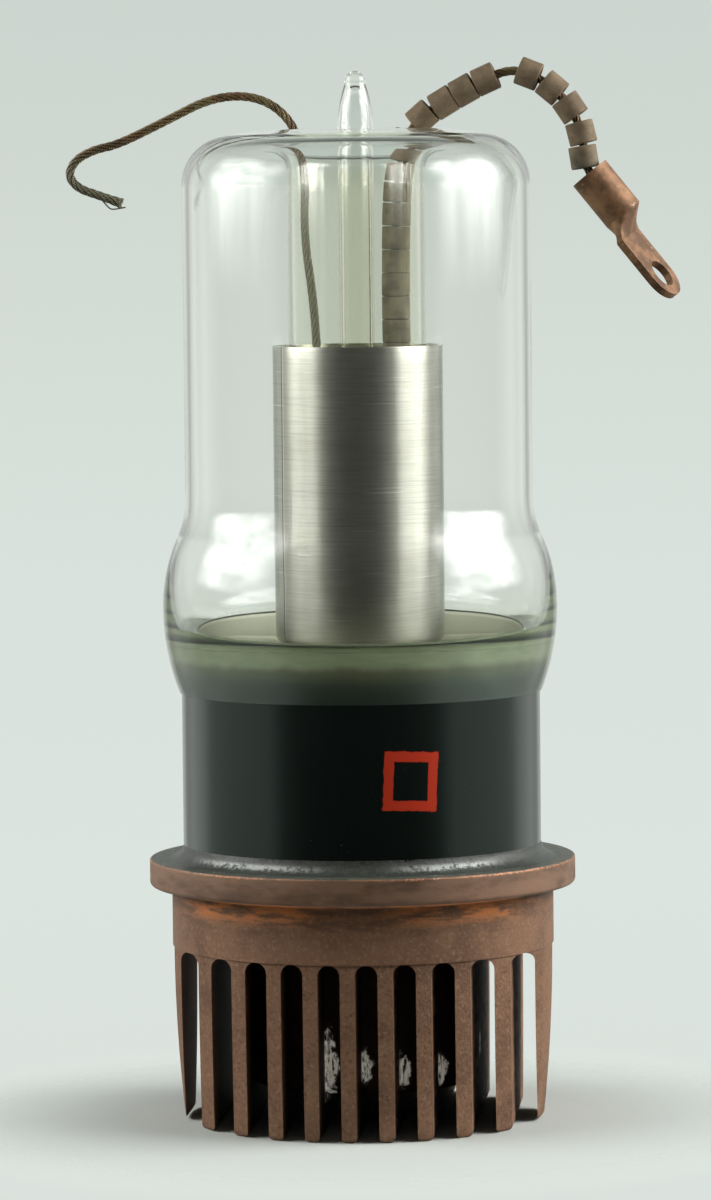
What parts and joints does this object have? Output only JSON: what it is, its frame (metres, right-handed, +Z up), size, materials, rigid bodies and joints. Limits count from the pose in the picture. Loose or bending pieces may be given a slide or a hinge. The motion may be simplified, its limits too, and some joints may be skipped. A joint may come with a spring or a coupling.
{
  "type": "external anode vacuum tube",
  "caption": "Air-cooled power rectifier tube: finned copper radiator and flange, black metal skirt sealed to a clear glass bulb with a re-entrant well, sealed tip and two free leads.",
  "frame": {"origin": "on the tube's axis in the plane of the fin tips, which it stands on", "axes": "+Z up the tube's axis from the fins to the sealed tip, +X towards the beaded lead and its lug, the fins lie along Y"},
  "size_m": [0.1439, 0.1004, 0.2492],
  "materials": {
    "cast_copper": "brown oxidised cast copper, rough from the sand on the fins, finer on the turned band",
    "flange_copper": "turned copper, oxidised brown at the edge, lacquered on top",
    "anode_copper": "dull bare copper",
    "braze_copper": "bright orange copper bead",
    "lacquered_solder": "lumpy solder fillet under clear green-black lacquer, glossy",
    "black_lacquer": "smooth black lacquer, glossy with faint scuffs",
    "clear_glass": "clear hard glass with a faint green tint",
    "tube_glass": "clear glass with a faint smoky film",
    "stem_glass": "thick clear glass",
    "tip_glass": "clear glass drawn off at the tip",
    "pin_metal": "oxidised sealing alloy",
    "ferrule_metal": "dull crimped copper sleeve",
    "stranded_copper": "bare stranded copper, dark bronze",
    "bead_ceramic": "unglazed taupe ceramic",
    "lug_copper": "satin copper, blotched",
    "polished_shield": "polished sheet metal with fine scratches round it",
    "white_ceramic": "unglazed white ceramic",
    "cathode_metal": "grey refractory metal",
    "tungsten_wire": "dark drawn tungsten"
  },
  "bodies": {
    "root": {"radiator": "cast_copper", "mounting_flange": "flange_copper", "anode_cup": "anode_copper", "braze_seam": "braze_copper", "solder_fillet": "lacquered_solder", "seal_skirt": "black_lacquer", "glass_envelope": "clear_glass", "reentrant_tube": "tube_glass", "glass_stem": "stem_glass", "exhaust_tube": "tip_glass", "left_seal_pin": "pin_metal", "right_seal_pin": "pin_metal", "left_ferrule": "ferrule_metal", "right_ferrule": "ferrule_metal", "left_lead": "stranded_copper", "right_lead": "stranded_copper", "lead_beads": "bead_ceramic", "cable_lug": "lug_copper", "shield_cylinder": "polished_shield", "shield_base": "polished_shield", "shield_bushing": "white_ceramic", "rod_couplers": "cathode_metal", "left_support_rod": "cathode_metal", "right_support_rod": "cathode_metal", "ceramic_spacer": "white_ceramic", "spacer_collars": "cathode_metal", "center_rod": "cathode_metal", "filament_hook": "cathode_metal", "left_filament_clamp": "cathode_metal", "right_filament_clamp": "cathode_metal", "filament": "tungsten_wire"}
  },
  "joints": []
}
